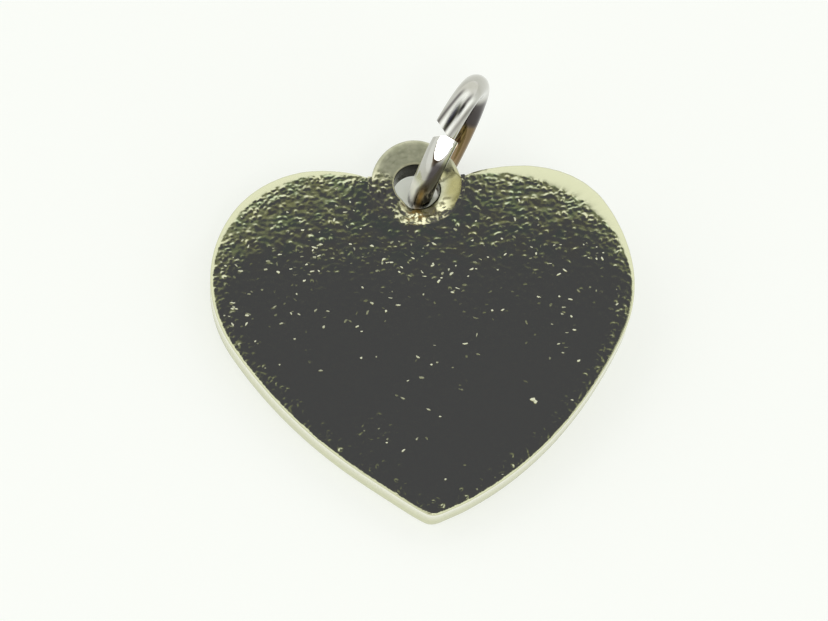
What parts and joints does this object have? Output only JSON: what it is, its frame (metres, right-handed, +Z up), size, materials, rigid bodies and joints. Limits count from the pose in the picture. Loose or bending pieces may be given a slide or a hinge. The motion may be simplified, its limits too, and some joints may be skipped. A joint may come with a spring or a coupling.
{
  "type": "heart charm",
  "caption": "Flat heart charm of pale grained metal with a rolled edge, a round eye soldered into its cleft and a cut jump ring that hangs it from a chain or bracelet.",
  "frame": {"origin": "centre of the resting charm's bounding box, on the surface it lies on", "axes": "+Z up from the surface; +Y along the heart from its tip to its eye, seen from above; +X to the right lobe"},
  "size_m": [0.016, 0.0176, 0.0058],
  "materials": {
    "plate_metal": "bright pale metal with a fine cast grain on the face and a smooth rolled edge",
    "eye_metal": "smooth bright pale metal",
    "solder": "smooth bright fillet",
    "ring_wire": "polished round wire with cut ends"
  },
  "bodies": {
    "charm": {"heart_plate": "plate_metal", "hanging_eye": "eye_metal", "solder_seam": "solder"},
    "ring": {"jump_ring": "ring_wire"}
  },
  "joints": [
    {"name": "ring_sway", "type": "hinge", "parent": "charm", "child": "ring", "pos_m": [-0.00002, 0.00454, 0.00215], "axis": [-0.0719, -0.1197, 0.9902], "range_deg": [-39, 106]}
  ]
}
